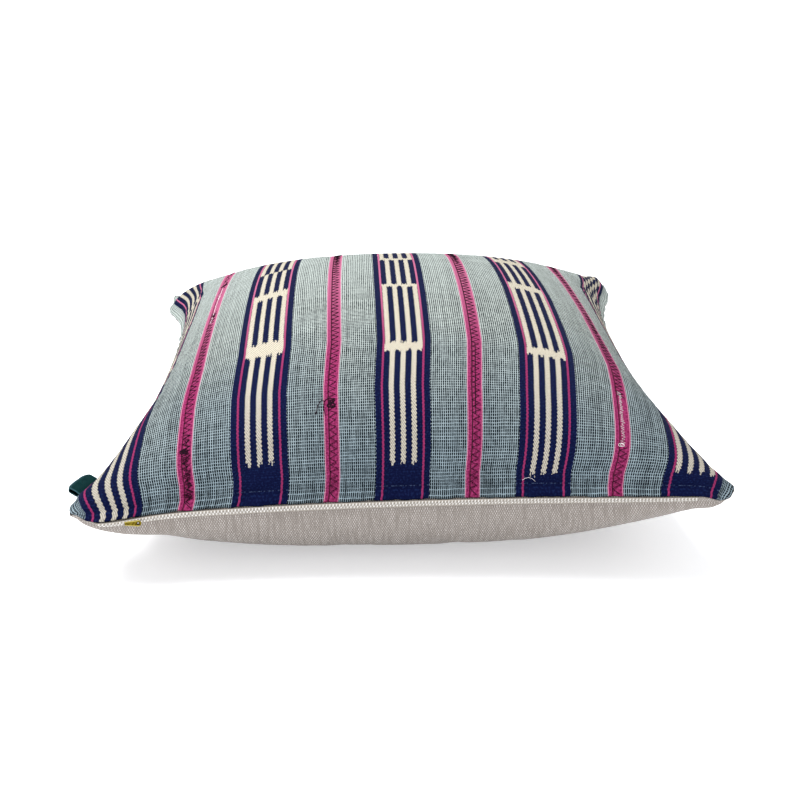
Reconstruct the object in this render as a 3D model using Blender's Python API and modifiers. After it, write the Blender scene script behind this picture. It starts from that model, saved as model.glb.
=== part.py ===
"""A square scatter cushion in strip-woven cloth, lying on its back.

Metres, +Z up. The origin is the middle of the flat patch that rests on the
surface. X runs across the five woven strips, and Y runs along them, from the
zipped near seam to the far seam.
"""

from collections import namedtuple
import math

import bmesh
import bpy
from mathutils import Vector

# The cover measures 0.45 by 0.45 laid flat, and filling it draws its sides in
CORNER_SPAN = 0.432
DRAW_IN = {"near": 0.021, "far": 0.018, "left": 0.034, "right": 0.0285}
CORNER_SHARPNESS = 6
SIDES = {"near": (0, -1), "far": (0, 1), "left": (-1, 0), "right": (1, 0)}

# Rise of the front above the seam, and fall of the back below it
CROWN_RISE = 0.1010
BELLY_DROP = 0.090
LANDING_BLEND = 0.009

# A high power keeps the crown broad. The fullness is the power that turns its
# falling edge down to the seam: the lower it is, the steeper the wall.
ACROSS_POWER = 2.3
ALONG_POWER = 2.15
FRONT_FULLNESS = 0.49
BACK_FULLNESS = 0.58

# How soon the drawn-in sides flare out again to the ears at the corners: the
# two ends, and the left and right side towards the near and the far end
END_FLARE = 2.6
NEAR_FLARE = 2.3
FAR_FLARE = 4.2

# Diagonal folds that gather the cloth behind each ear. They fade out over a
# short distance before the seam, and are shallower on the back.
FOLD_DISTANCE = 0.050
FOLD_REACH = 0.024
FOLD_SPREAD = 8.0
FOLD_FADE = 0.036
BACK_FOLD_SHARE = 0.5

# The lift of an ear is kept to its very tip
EAR_SHARPNESS = 5

# Beside its tip an ear stands out in a lobe, which is kept to the side seam
LOBE_PLACE = 0.875
LOBE_WIDTH = 0.06
LOBE_GRIP = 6

# The front rises less steeply from its seams towards a soft corner, and the
# back falls more steeply close to a full one
FILL_SHARPNESS = 4
Corner = namedtuple("Corner", "shift_x shift_y height ear_lift fold_depth rounding lobe softness fill")
CORNERS = {
    (-1, -1): Corner(-0.004, 0.000, 0.054, 0.000, 0.0012, 0.010, 0.004, 0.12, 0.00),
    (1, -1): Corner(0.008, -0.002, 0.071, 0.002, 0.0012, 0.010, 0.004, 0.03, 0.11),
    (-1, 1): Corner(-0.009, 0.002, 0.071, 0.002, 0.0045, 0.0165, 0.011, 0.00, 0.00),
    (1, 1): Corner(-0.006, 0.002, 0.082, 0.006, 0.0035, 0.0155, 0.005, 0.00, 0.00),
}
SEAM_HEIGHT = {"near": 0.0625, "far": 0.0645, "left": 0.053, "right": 0.0585}

# The cage of each panel, smoothed once, and the two rims that close on each other
PANEL_CELLS = 20
CAGE_CROWDING = 0.9
SMOOTHING = 1
RIM_GAP = 0.00005

# The folded strip that laps over the zip
PLACKET_START = -0.93
PLACKET_END = 0.90
PLACKET_HEIGHT = 0.0042
PLACKET_THICKNESS = 0.0014
PLACKET_CLEARANCE = 0.0009
PLACKET_CELLS = 70
PLACKET_ROWS = 2
PLACKET_LEAD = 0.03

# The brass tab of the zip
PULL_LENGTH = 0.0105
PULL_WIDTH = 0.0040
PULL_NECK = 0.0022
PULL_THICKNESS = 0.0012
PULL_HOLE = 0.0007
PULL_EYE_DEGREES = range(-100, 101, 20)
PULL_HOLE_DEGREES = range(0, 360, 45)
PULL_STATION = -0.765
PULL_SPAN = 0.02
PULL_STAND_OFF = 0.0034
PULL_DROP = 0.0034
PULL_LEAN = math.radians(75)

# The folded ribbon in the left seam
LABEL_WIDTH = 0.023
LABEL_REACH = 0.0120
LABEL_RIBBON = 0.0007
LABEL_FOLD_RADIUS = 0.0011
LABEL_FOLD_DEGREES = range(90, 271, 30)
LABEL_STATION = -0.75
LABEL_TILT = math.radians(24)
LABEL_TURN = math.radians(-20)
LABEL_GAP = 0.0027

# Finishes
STRIP_COLOUR = (0.30, 0.38, 0.39)
CANVAS_COLOUR = (0.52, 0.45, 0.40)
BRASS_COLOUR = (0.45, 0.30, 0.08)
RIBBON_COLOUR = (0.005, 0.09, 0.07)
CLOTH_ROUGHNESS = 0.9
BRASS_ROUGHNESS = 0.35
RIBBON_ROUGHNESS = 0.6


def new_material(name, colour, roughness, metallic=0.0):
    material = bpy.data.materials.new(name)
    material.use_nodes = True
    shader = material.node_tree.nodes["Principled BSDF"]
    shader.inputs["Base Color"].default_value = (*colour, 1.0)
    shader.inputs["Roughness"].default_value = roughness
    shader.inputs["Metallic"].default_value = metallic
    return material


def strip_cloth():
    """Matt strip-woven cotton of the front."""
    return new_material("strip_cloth", STRIP_COLOUR, CLOTH_ROUGHNESS)


def canvas():
    """Matt oatmeal cotton of the placket."""
    return new_material("canvas", CANVAS_COLOUR, CLOTH_ROUGHNESS)


def brass():
    """Worn polished brass of the zip's tab."""
    return new_material("brass", BRASS_COLOUR, BRASS_ROUGHNESS, metallic=1.0)


def label_ribbon():
    """Smooth dark green ribbon of the label."""
    return new_material("label_ribbon", RIBBON_COLOUR, RIBBON_ROUGHNESS)


def add_object(name, mesh, material, collection):
    piece = bpy.data.objects.new(name, mesh)
    mesh.materials.append(material)
    collection.objects.link(piece)
    return piece


def corner_mix(u, v, column):
    """Blend one column of the corner table over the square from -1 to 1."""
    return sum(
        getattr(corner, column) * (1 + side * u) * (1 + end * v) / 4
        for (side, end), corner in CORNERS.items()
    )


def seam_height(u, v):
    """Height of the sheet through the seams: corner values, bent along each side."""
    height = corner_mix(u, v, "height")
    bend_across = 1 - u * u
    bend_along = 1 - v * v
    for side, (across, along) in SIDES.items():
        bow = SEAM_HEIGHT[side] - corner_mix(across, along, "height")
        if across == 0:
            height += bow * bend_across * (1 + along * v) / 2
        else:
            height += bow * bend_along * (1 + across * u) / 2
    return height


def nearest_corner(u, v):
    return CORNERS[(1 if u > 0 else -1, 1 if v > 0 else -1)]


def ear_lobe(u, v):
    """How far the side seam stands out beside the tip of an ear."""
    hump = math.exp(-((abs(v) - LOBE_PLACE) / LOBE_WIDTH) ** 2)
    return nearest_corner(u, v).lobe * hump * abs(u) ** LOBE_GRIP


def seam_sheet(u, v):
    """A point on the sheet that passes through all four seams."""
    corner = nearest_corner(u, v)
    flare = FAR_FLARE if v > 0 else NEAR_FLARE
    side_pull = DRAW_IN["right" if u > 0 else "left"] * (1 - abs(v) ** flare)
    end_pull = DRAW_IN["far" if v > 0 else "near"] * (1 - abs(u) ** END_FLARE)
    side_pull -= ear_lobe(u, v)
    blunting = corner.rounding * abs(u * v) ** CORNER_SHARPNESS
    x = u * (CORNER_SPAN / 2 - side_pull) - math.copysign(blunting, u) + corner_mix(u, v, "shift_x")
    y = v * (CORNER_SPAN / 2 - end_pull) - math.copysign(blunting, v) + corner_mix(u, v, "shift_y")
    z = seam_height(u, v) + corner.ear_lift * abs(u * v) ** EAR_SHARPNESS
    return Vector((x, y, z))


def swelling(u, v, fullness):
    """From 0 at the seams to 1 in the middle of a panel."""
    across = max(0.0, 1 - abs(u) ** ACROSS_POWER)
    along = max(0.0, 1 - abs(v) ** ALONG_POWER)
    return (across * along) ** fullness


def ear_fold(u, v):
    """Diagonal gathers in the cloth between an ear and the filled middle."""
    across = (1 - abs(u)) * CORNER_SPAN / 2
    along = (1 - abs(v)) * CORNER_SPAN / 2
    distance = math.hypot(across, along)
    angle = math.atan2(along, across) - math.pi / 4
    band = math.exp(-((distance - FOLD_DISTANCE) / FOLD_REACH) ** 2)
    fade = min(1.0, min(across, along) / FOLD_FADE)
    return -nearest_corner(u, v).fold_depth * band * fade * math.cos(FOLD_SPREAD * angle)


def landed(height):
    """Let the belly meet the surface softly and lie flat on it."""
    if height >= LANDING_BLEND:
        return height
    if height <= -LANDING_BLEND:
        return 0.0
    return (height + LANDING_BLEND) ** 2 / (4 * LANDING_BLEND)


def front_point(u, v):
    point = seam_sheet(u, v)
    fullness = FRONT_FULLNESS + corner_mix(u, v, "softness")
    point.z += CROWN_RISE * swelling(u, v, fullness) + ear_fold(u, v)
    return point


def back_point(u, v):
    point = seam_sheet(u, v)
    fullness = BACK_FULLNESS - nearest_corner(u, v).fill * abs(u * v) ** FILL_SHARPNESS
    drop = BELLY_DROP * swelling(u, v, fullness) + BACK_FOLD_SHARE * ear_fold(u, v)
    point.z = landed(point.z - drop)
    return point


def crowded(position):
    """Move a cage line towards the seam, where the panel turns fastest."""
    turned = math.sin(position * math.pi / 2)
    return position + (turned - position) * CAGE_CROWDING


def add_panel(cage, point_on_panel, faces_down):
    """Shape a square grid into one panel of the cover."""
    grid = bmesh.ops.create_grid(cage, x_segments=PANEL_CELLS, y_segments=PANEL_CELLS, size=1.0)
    for vert in grid["verts"]:
        vert.co = point_on_panel(crowded(vert.co.x), crowded(vert.co.y))
    if faces_down:
        faces = {face for vert in grid["verts"] for face in vert.link_faces}
        bmesh.ops.reverse_faces(cage, faces=list(faces))


def make_cushion(collection):
    """The filled cover: front and back panel closed along the seam."""
    cage = bmesh.new()
    add_panel(cage, front_point, faces_down=False)
    add_panel(cage, back_point, faces_down=True)
    seam = [vert for vert in cage.verts if vert.is_boundary]
    for vert in seam:
        vert.tag = True
    bmesh.ops.remove_doubles(cage, verts=seam, dist=RIM_GAP)
    crease = cage.edges.layers.float.new("crease_edge")
    for edge in cage.edges:
        if all(vert.tag for vert in edge.verts):
            edge[crease] = 1.0
    mesh = bpy.data.meshes.new("cushion")
    cage.to_mesh(mesh)
    cage.free()
    mesh.shade_smooth()
    cushion = add_object("cushion", mesh, strip_cloth(), collection)
    rounding = cushion.modifiers.new("soft form", "SUBSURF")
    rounding.levels = SMOOTHING
    rounding.render_levels = SMOOTHING
    return cushion


def make_placket(cushion, collection):
    """The folded lap of backing cloth under the near seam."""
    strip = bmesh.new()
    bmesh.ops.create_grid(strip, x_segments=PLACKET_CELLS, y_segments=PLACKET_ROWS, size=1.0)
    for vert in strip.verts:
        share = (vert.co.x + 1) / 2
        station = PLACKET_START + (PLACKET_END - PLACKET_START) * share
        down = PLACKET_HEIGHT * (1 - vert.co.y) / 2 + PLACKET_THICKNESS
        vert.co = seam_sheet(station, -1) - Vector((0, PLACKET_LEAD, down))
    mesh = bpy.data.meshes.new("zip_placket")
    strip.to_mesh(mesh)
    strip.free()
    mesh.shade_smooth()
    placket = add_object("zip_placket", mesh, canvas(), collection)
    lay = placket.modifiers.new("lie on the back panel", "SHRINKWRAP")
    lay.target = cushion
    lay.wrap_method = "PROJECT"
    lay.use_project_y = True
    lay.use_positive_direction = True
    lay.use_negative_direction = False
    lay.wrap_mode = "ABOVE_SURFACE"
    lay.offset = PLACKET_CLEARANCE
    fold = placket.modifiers.new("folded cloth", "SOLIDIFY")
    fold.thickness = PLACKET_THICKNESS
    fold.offset = 1.0
    return placket


def make_pull(collection):
    """A small brass tab with an eye, lying along the placket."""
    outline = bpy.data.curves.new("zip_pull", "CURVE")
    outline.dimensions = "2D"
    outline.fill_mode = "BOTH"
    outline.extrude = PULL_THICKNESS / 2
    tab = outline.splines.new("POLY")
    radius = PULL_WIDTH / 2
    eye_x = PULL_LENGTH / 2 - radius
    arc = [math.radians(angle) for angle in PULL_EYE_DEGREES]
    points = [(eye_x + radius * math.cos(angle), radius * math.sin(angle)) for angle in arc]
    points += [(-PULL_LENGTH / 2, PULL_NECK / 2), (-PULL_LENGTH / 2, -PULL_NECK / 2)]
    tab.points.add(len(points) - 1)
    for point, (x, y) in zip(tab.points, points):
        point.co = (x, y, 0, 1)
    tab.use_cyclic_u = True
    eye = outline.splines.new("POLY")
    turn = [math.radians(angle) for angle in PULL_HOLE_DEGREES]
    eye.points.add(len(turn) - 1)
    for point, angle in zip(eye.points, turn):
        point.co = (eye_x + PULL_HOLE * math.cos(angle), PULL_HOLE * math.sin(angle), 0, 1)
    eye.use_cyclic_u = True
    pull = add_object("zip_pull", outline, brass(), collection)
    seam = seam_sheet(PULL_STATION, -1)
    along = seam_sheet(PULL_STATION + PULL_SPAN, -1) - seam
    pull.location = seam + Vector((0, -PULL_STAND_OFF, -PULL_DROP))
    pull.rotation_euler = (PULL_LEAN, 0, math.atan2(along.y, along.x))
    return pull


def make_label(collection):
    """A ribbon folded in half, its two ends caught in the left seam."""
    ribbon = bmesh.new()
    bend = [math.radians(angle) for angle in LABEL_FOLD_DEGREES]
    straight = LABEL_REACH - LABEL_FOLD_RADIUS
    profile = [(-LABEL_GAP, LABEL_FOLD_RADIUS)]
    profile += [
        (-straight + LABEL_FOLD_RADIUS * math.cos(angle), LABEL_FOLD_RADIUS * math.sin(angle))
        for angle in bend
    ]
    profile += [(-LABEL_GAP, -LABEL_FOLD_RADIUS)]
    line = [ribbon.verts.new((x, -LABEL_WIDTH / 2, z)) for x, z in profile]
    edges = [ribbon.edges.new(pair) for pair in zip(line, line[1:])]
    swept = bmesh.ops.extrude_edge_only(ribbon, edges=edges)["geom"]
    moved = [item for item in swept if isinstance(item, bmesh.types.BMVert)]
    bmesh.ops.translate(ribbon, verts=moved, vec=(0, LABEL_WIDTH, 0))
    bmesh.ops.recalc_face_normals(ribbon, faces=ribbon.faces)
    mesh = bpy.data.meshes.new("label")
    ribbon.to_mesh(mesh)
    ribbon.free()
    label = add_object("label", mesh, label_ribbon(), collection)
    label.location = seam_sheet(-1, LABEL_STATION)
    label.rotation_euler = (0, LABEL_TILT, LABEL_TURN)
    cloth = label.modifiers.new("ribbon", "SOLIDIFY")
    cloth.thickness = LABEL_RIBBON
    cloth.offset = 0.0
    return label


for old in list(bpy.data.objects):
    bpy.data.objects.remove(old)

parts = bpy.data.collections.new("cushion parts")
bpy.context.scene.collection.children.link(parts)
filled_cover = make_cushion(parts)
make_placket(filled_cover, parts)
make_pull(parts)
make_label(parts)
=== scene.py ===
"""A square scatter cushion in strip-woven ikat cloth, lying on its back."""

from collections import namedtuple
import math

import bmesh
import bpy
from mathutils import Matrix, Vector
from mathutils.bvhtree import BVHTree
import numpy as np


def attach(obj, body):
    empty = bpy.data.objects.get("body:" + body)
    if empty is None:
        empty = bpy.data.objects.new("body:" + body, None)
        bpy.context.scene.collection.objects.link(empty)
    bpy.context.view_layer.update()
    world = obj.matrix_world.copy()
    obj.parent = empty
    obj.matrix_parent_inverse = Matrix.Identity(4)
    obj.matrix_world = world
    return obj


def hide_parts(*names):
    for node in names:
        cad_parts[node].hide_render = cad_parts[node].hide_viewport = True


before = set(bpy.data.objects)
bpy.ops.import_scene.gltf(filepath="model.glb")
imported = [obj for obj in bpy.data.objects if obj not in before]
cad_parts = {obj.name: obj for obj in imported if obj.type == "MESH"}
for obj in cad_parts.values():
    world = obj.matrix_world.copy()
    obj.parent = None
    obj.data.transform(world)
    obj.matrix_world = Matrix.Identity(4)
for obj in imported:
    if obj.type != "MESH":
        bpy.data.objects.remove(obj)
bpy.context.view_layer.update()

# The studio: a white floor that runs out of view, soft light from above and a
# little behind, and a low camera that looks over the near seam.
CAMERA_AIM = Vector((0.0032, 0.0002, 0.0525))
CAMERA_HEIGHT = math.radians(22.16)
CAMERA_DISTANCE = 0.9606
CAMERA_LENS = 54.63
CAMERA_SENSOR = 36.0
FLOOR_SIZE = 30.0
FLOOR_DROP = 0.0002
FLOOR_COLOUR = (0.92, 0.93, 0.95, 1.0)
FLOOR_GLOW = 0.42
FLOOR_ROUGHNESS = 0.9
SKY_STRENGTH = 0.82
SOFT_LIGHT_SIZE = 0.9
SOFT_LIGHT_POWER = 36.0
SOFT_LIGHT_PLACE = Vector((-0.42, -0.12, 1.38))

camera = bpy.data.objects.new("camera", bpy.data.cameras.new("camera"))
camera.data.lens = CAMERA_LENS
camera.data.sensor_width = CAMERA_SENSOR
back_off = Vector((0, -math.cos(CAMERA_HEIGHT), math.sin(CAMERA_HEIGHT))) * CAMERA_DISTANCE
camera.location = CAMERA_AIM + back_off
camera.rotation_euler = (math.pi / 2 - CAMERA_HEIGHT, 0, 0)
bpy.context.scene.collection.objects.link(camera)
bpy.context.scene.camera = camera

floor_plan = bmesh.new()
bmesh.ops.create_grid(floor_plan, x_segments=1, y_segments=1, size=FLOOR_SIZE)
bmesh.ops.translate(floor_plan, verts=floor_plan.verts, vec=(0, 0, -FLOOR_DROP))
floor_mesh = bpy.data.meshes.new("floor")
floor_plan.to_mesh(floor_mesh)
floor_plan.free()
floor = bpy.data.objects.new("floor", floor_mesh)
floor_paint = bpy.data.materials.new("floor paint")
floor_paint.use_nodes = True
floor_shader = floor_paint.node_tree.nodes["Principled BSDF"].inputs
floor_shader["Base Color"].default_value = FLOOR_COLOUR
floor_shader["Emission Color"].default_value = FLOOR_COLOUR
floor_shader["Emission Strength"].default_value = FLOOR_GLOW
floor_shader["Roughness"].default_value = FLOOR_ROUGHNESS
floor_mesh.materials.append(floor_paint)
bpy.context.scene.collection.objects.link(floor)

sky = bpy.data.worlds.new("studio")
sky.use_nodes = True
sky.node_tree.nodes["Background"].inputs["Color"].default_value = (1.0, 1.0, 1.0, 1.0)
sky.node_tree.nodes["Background"].inputs["Strength"].default_value = SKY_STRENGTH
bpy.context.scene.world = sky
soft_light = bpy.data.lights.new("soft light", "AREA")
soft_light.shape = "SQUARE"
soft_light.size = SOFT_LIGHT_SIZE
soft_light.energy = SOFT_LIGHT_POWER
lamp = bpy.data.objects.new("soft light", soft_light)
lamp.location = SOFT_LIGHT_PLACE
lamp.rotation_euler = (CAMERA_AIM - SOFT_LIGHT_PLACE).to_track_quat("-Z", "Y").to_euler()
bpy.context.scene.collection.objects.link(lamp)
bpy.context.scene.view_settings.view_transform = "Standard"

# The filled cover: a pieced front and a plain back, sewn round and filled. It is
# laid on the frame's solid in cloth lengths and relaxed as cloth, with the
# filling's pressure inside. Cloth is measured in mm, and the meshes in metres.
COVER = 450.0
CELLS = 96
SOLID_MERGE = 0.00001
DRAFT_LINES = 141
DRAFT_CROWDING = 0.92
LAY_ROUNDS = 3

# How the strips lie along the cushion: drawn to the middle, drifting right, and
# spread or drawn in again on the right side alone
Lay = namedtuple("Lay", "station squeeze drift flare")
LAYS = (
    Lay(0, 0.025, 0.014, 0.000),
    Lay(15, 0.058, 0.013, 0.000),
    Lay(75, 0.045, 0.011, 0.045),
    Lay(120, 0.046, 0.019, 0.085),
    Lay(220, 0.030, 0.011, 0.050),
    Lay(330, 0.012, 0.004, -0.090),
    Lay(450, 0.000, 0.000, 0.000),
)

CLOTH_FRAMES = 10
CLOTH_MASS = 0.02
CLOTH_STRETCH = 40.0
CLOTH_SHEAR = 5.0
CLOTH_BENDING = 0.5
CLOTH_DAMPING = 10.0
AIR_DAMPING = 2.0
FILLING_PRESSURE = 4.0
MOST_RISE = 0.0035
MOST_SLIP = 0.0040


def seam_loop(solid):
    """The points of the seam, once round, from the edges where front meets back."""
    neighbours = {}
    for edge in solid.edges:
        above = [face.normal.z > 0 for face in edge.link_faces]
        if len(above) == 2 and above[0] != above[1]:
            for here, there in (edge.verts, reversed(edge.verts)):
                neighbours.setdefault(here, []).append(there)
    here = min(neighbours, key=lambda vert: (vert.co.x + vert.co.y, vert.co.z))
    loop = [here]
    before = None
    while len(loop) < len(neighbours):
        after = next(vert for vert in neighbours[here] if vert is not before)
        before, here = here, after
        loop.append(here)
    return np.array([vert.co for vert in loop])


def seam_side(loop, start, end):
    """The seam from one corner to another, by the shorter way round."""
    first, last = (int(np.argmax(loop[:, 0] * x + loop[:, 1] * y)) for x, y in (start, end))
    count = len(loop)
    forwards = loop[(first + np.arange((last - first) % count + 1)) % count]
    backwards = loop[(first - np.arange((first - last) % count + 1)) % count]
    return forwards if len(forwards) < len(backwards) else backwards


def points_along(line, shares):
    lengths = np.r_[0, np.cumsum(np.linalg.norm(np.diff(line, axis=0), axis=1))]
    wanted = shares * lengths[-1]
    return np.stack([np.interp(wanted, lengths, line[:, axis]) for axis in range(3)], axis=1)


def draft_sheet(sides, shares):
    """A sheet stretched between the four sides of the seam."""
    near, far, left, right = (points_along(side, shares) for side in sides)
    across = shares[:, None, None]
    along = shares[None, :, None]
    sheet = (1 - along) * near[:, None] + along * far[:, None]
    sheet += (1 - across) * left[None] + across * right[None]
    sheet -= (1 - across) * ((1 - along) * near[0] + along * far[0])
    sheet -= across * ((1 - along) * near[-1] + along * far[-1])
    return sheet


def dropped_on(skin, sheet, height, fall):
    """The sheet, dropped on the solid from above or from below. Its rim stays."""
    laid = sheet.copy()
    last = len(sheet) - 1
    for i in range(1, last):
        for j in range(1, last):
            x, y, z = sheet[i, j]
            hit = skin.ray_cast(Vector((x, y, height)), Vector((0, 0, fall)))[0]
            laid[i, j] = hit or skin.find_nearest(Vector((x, y, z)))[0]
    return laid


def respaced(sheet, axis, count):
    """The sheet with its lines along one axis cut into equal lengths."""
    lines = np.moveaxis(sheet, axis, 0)
    shares = np.linspace(0, 1, count)
    even = np.stack([points_along(lines[:, k], shares) for k in range(lines.shape[1])], axis=1)
    return np.moveaxis(even, 0, axis)


def laid_in_lengths(sheet, sides):
    count = CELLS + 1
    sheet = respaced(respaced(sheet, 0, count), 1, count)
    for _ in range(LAY_ROUNDS):
        sheet = (respaced(sheet, 0, count) + respaced(sheet, 1, count)) / 2
    shares = np.linspace(0, 1, count)
    near, far, left, right = (points_along(side, shares) for side in sides)
    sheet[:, 0], sheet[:, -1], sheet[0], sheet[-1] = near, far, left, right
    return sheet


def strip_places():
    """Where each line of the sheet lies across it, from 0 to 1, at each station."""
    across = np.linspace(-1, 1, CELLS + 1)[:, None]
    stations = np.linspace(0, COVER, CELLS + 1)[None]
    known, *columns = zip(*LAYS)
    squeeze, drift, flare = (np.interp(stations, known, column) for column in columns)
    right_side = np.maximum(across, 0)
    moved = across + (1 - across ** 2) * (drift - squeeze * across + flare * right_side ** 2)
    return (moved + 1) / 2


def drawn_across(sheet, places):
    """The sheet with its lines moved across it to the strips' places."""
    lines = np.linspace(0, 1, CELLS + 1)
    drawn = sheet.copy()
    for j in range(CELLS + 1):
        for axis in range(3):
            drawn[:, j, axis] = np.interp(places[:, j], lines, sheet[:, j, axis])
    return drawn


def relaxed(front, back, places):
    """Front and back as one closed piece of cloth, after the filling has pushed it out.
    Gives the places and the outward directions of the front's lines, then of the back's."""
    cover = bmesh.new()
    layer = {name: cover.verts.layers.float.new(name) for name in ("across", "along", "below")}
    for sheet, below in ((front, 0), (back, 1)):
        grid = bmesh.ops.create_grid(cover, x_segments=CELLS, y_segments=CELLS, size=1.0)
        for vert in grid["verts"]:
            i = round((vert.co.x + 1) / 2 * CELLS)
            j = round((vert.co.y + 1) / 2 * CELLS)
            vert[layer["across"]], vert[layer["along"]], vert[layer["below"]] = i, j, below
            vert.co = sheet[i, j]
        if below:
            turned = list({face for vert in grid["verts"] for face in vert.link_faces})
            bmesh.ops.reverse_faces(cover, faces=turned)
    rim = [vert for vert in cover.verts if vert.is_boundary]
    bmesh.ops.remove_doubles(cover, verts=rim, dist=SOLID_MERGE)
    mesh = bpy.data.meshes.new("cover form")
    cover.to_mesh(mesh)
    cover.free()
    form = bpy.data.objects.new("cover form", mesh)
    bpy.context.scene.collection.objects.link(form)

    def read(source, name):
        values = np.empty(len(mesh.vertices) * 3, np.float32)
        source.foreach_get(name, values)
        return values.reshape(-1, 3)

    i, j, below = (np.array([value.value for value in mesh.attributes[name].data]) for name in layer)
    i, j, below = i.astype(int), j.astype(int), below > 0.5
    on_rim = (i == 0) | (i == CELLS) | (j == 0) | (j == CELLS)
    start, out = read(mesh.vertices, "co"), read(mesh.vertices, "normal")
    form.shape_key_add(name="filled")
    flat = form.shape_key_add(name="flat")
    cut = np.stack([places[i, j], j / CELLS, np.zeros(len(i))], axis=1) * COVER / 1000
    flat.data.foreach_set("co", cut.astype(np.float32).ravel())
    flat.value = 0
    cloth = form.modifiers.new("cloth", "CLOTH")
    cloth.settings.mass = CLOTH_MASS
    cloth.settings.air_damping = AIR_DAMPING
    cloth.settings.tension_stiffness = cloth.settings.compression_stiffness = CLOTH_STRETCH
    cloth.settings.shear_stiffness = CLOTH_SHEAR
    cloth.settings.bending_stiffness = CLOTH_BENDING
    cloth.settings.tension_damping = cloth.settings.compression_damping = CLOTH_DAMPING
    cloth.settings.shear_damping = CLOTH_DAMPING / 2
    cloth.settings.use_pressure = True
    cloth.settings.uniform_pressure_force = FILLING_PRESSURE
    cloth.settings.rest_shape_key = flat
    cloth.settings.effector_weights.gravity = 0
    cloth.collision_settings.use_collision = False
    cloth.point_cache.frame_end = CLOTH_FRAMES
    for number in range(1, CLOTH_FRAMES + 1):
        bpy.context.scene.frame_set(number)
    relaxed_form = form.evaluated_get(bpy.context.evaluated_depsgraph_get())
    pushed = read(relaxed_form.data.vertices, "co")
    move = pushed - start
    rise = (move * out).sum(1)
    slip = move - rise[:, None] * out
    rise = MOST_RISE * np.tanh((rise - np.median(rise)) / MOST_RISE)
    length = np.linalg.norm(slip, axis=1)
    slip *= (MOST_SLIP * np.tanh(length / MOST_SLIP) / np.maximum(length, 1e-9))[:, None]
    done = start + rise[:, None] * out + slip
    done[on_rim] = start[on_rim]
    done[:, 2] = np.where(start[:, 2] < SOLID_MERGE, 0, np.maximum(done[:, 2], 0))
    bpy.context.scene.frame_set(1)
    form.modifiers.clear()
    form.shape_key_clear()
    mesh.vertices.foreach_set("co", done.astype(np.float32).ravel())
    mesh.update()
    start, out = done, read(mesh.vertices, "normal")
    result = []
    for side in (~below | on_rim, below | on_rim):
        for values in (start, out):
            sheet = np.zeros((CELLS + 1, CELLS + 1, 3))
            sheet[i[side], j[side]] = values[side]
            result.append(sheet)
    bpy.data.objects.remove(form)
    return result


solid = bmesh.new()
solid.from_mesh(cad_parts["cushion"].data)
bmesh.ops.remove_doubles(solid, verts=solid.verts, dist=SOLID_MERGE)
solid.normal_update()
skin = BVHTree.FromBMesh(solid)
seam = seam_loop(solid)
solid.free()
seam_sides = (
    seam_side(seam, (-1, -1), (1, -1)),
    seam_side(seam, (-1, 1), (1, 1)),
    seam_side(seam, (-1, -1), (-1, 1)),
    seam_side(seam, (1, -1), (1, 1)),
)
lines = np.linspace(0, 1, DRAFT_LINES)
lines += DRAFT_CROWDING * ((1 - np.cos(np.pi * lines)) / 2 - lines)
draft = draft_sheet(seam_sides, lines)
strip_lines = strip_places()
laid_front = laid_in_lengths(dropped_on(skin, draft, 1.0, -1.0), seam_sides)
laid_back = laid_in_lengths(dropped_on(skin, draft, -1.0, 1.0), seam_sides)
laid_front = drawn_across(laid_front, strip_lines)
laid_back = drawn_across(laid_back, strip_lines)
FRONT, FRONT_OUT, BACK, BACK_OUT = relaxed(laid_front, laid_back, strip_lines)

# Small sags and swells of the cover by its corners, in mm: where each is, and its move
Sag = namedtuple("Sag", "sheets across along reach_across reach_along move_x move_y move_z")
SAGS = (
    Sag("both", -206, 0, 30, 15, 3.5, 0.0, -3.2),
    Sag("both", -225, 0, 8, 8, 2.5, 0.0, 6.0),
    Sag("both", -218, 22, 16, 13, -4.0, 0.0, 0.5),
    Sag("back", -194, 20, 38, 12, 0.0, -1.5, -4.2),
    Sag("both", 221, 2, 11, 12, -1.0, 0.0, -4.0),
    Sag("back", 213, 17, 13, 9, 0.0, -1.5, -2.8),
    Sag("both", -225, 450, 10, 9, -1.0, 0.0, 4.5),
    Sag("both", -225, 412, 10, 16, -3.0, 0.0, -1.0),
    Sag("both", 225, 450, 9, 9, 0.5, 0.0, -1.5),
    Sag("both", 206, 434, 15, 20, 0.0, 0.0, 4.5),
    Sag("both", 225, 420, 9, 20, 1.8, 0.0, 0.0),
    Sag("both", 225, 0, 7, 7, -4.0, 0.0, 0.0),
    Sag("both", 224, 20, 11, 12, 4.0, 0.0, 1.0),
)
cloth_across = np.linspace(-COVER / 2, COVER / 2, CELLS + 1)[:, None]
cloth_along = np.linspace(0, COVER, CELLS + 1)[None]
for sag in SAGS:
    far_across = (cloth_across - sag.across) / sag.reach_across
    far_along = (cloth_along - sag.along) / sag.reach_along
    share = np.exp(-(far_across ** 2) - far_along ** 2)[..., None] / 1000
    for sheet in (FRONT, BACK) if sag.sheets == "both" else (BACK,):
        sheet += share * np.array([sag.move_x, sag.move_y, sag.move_z])


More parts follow.
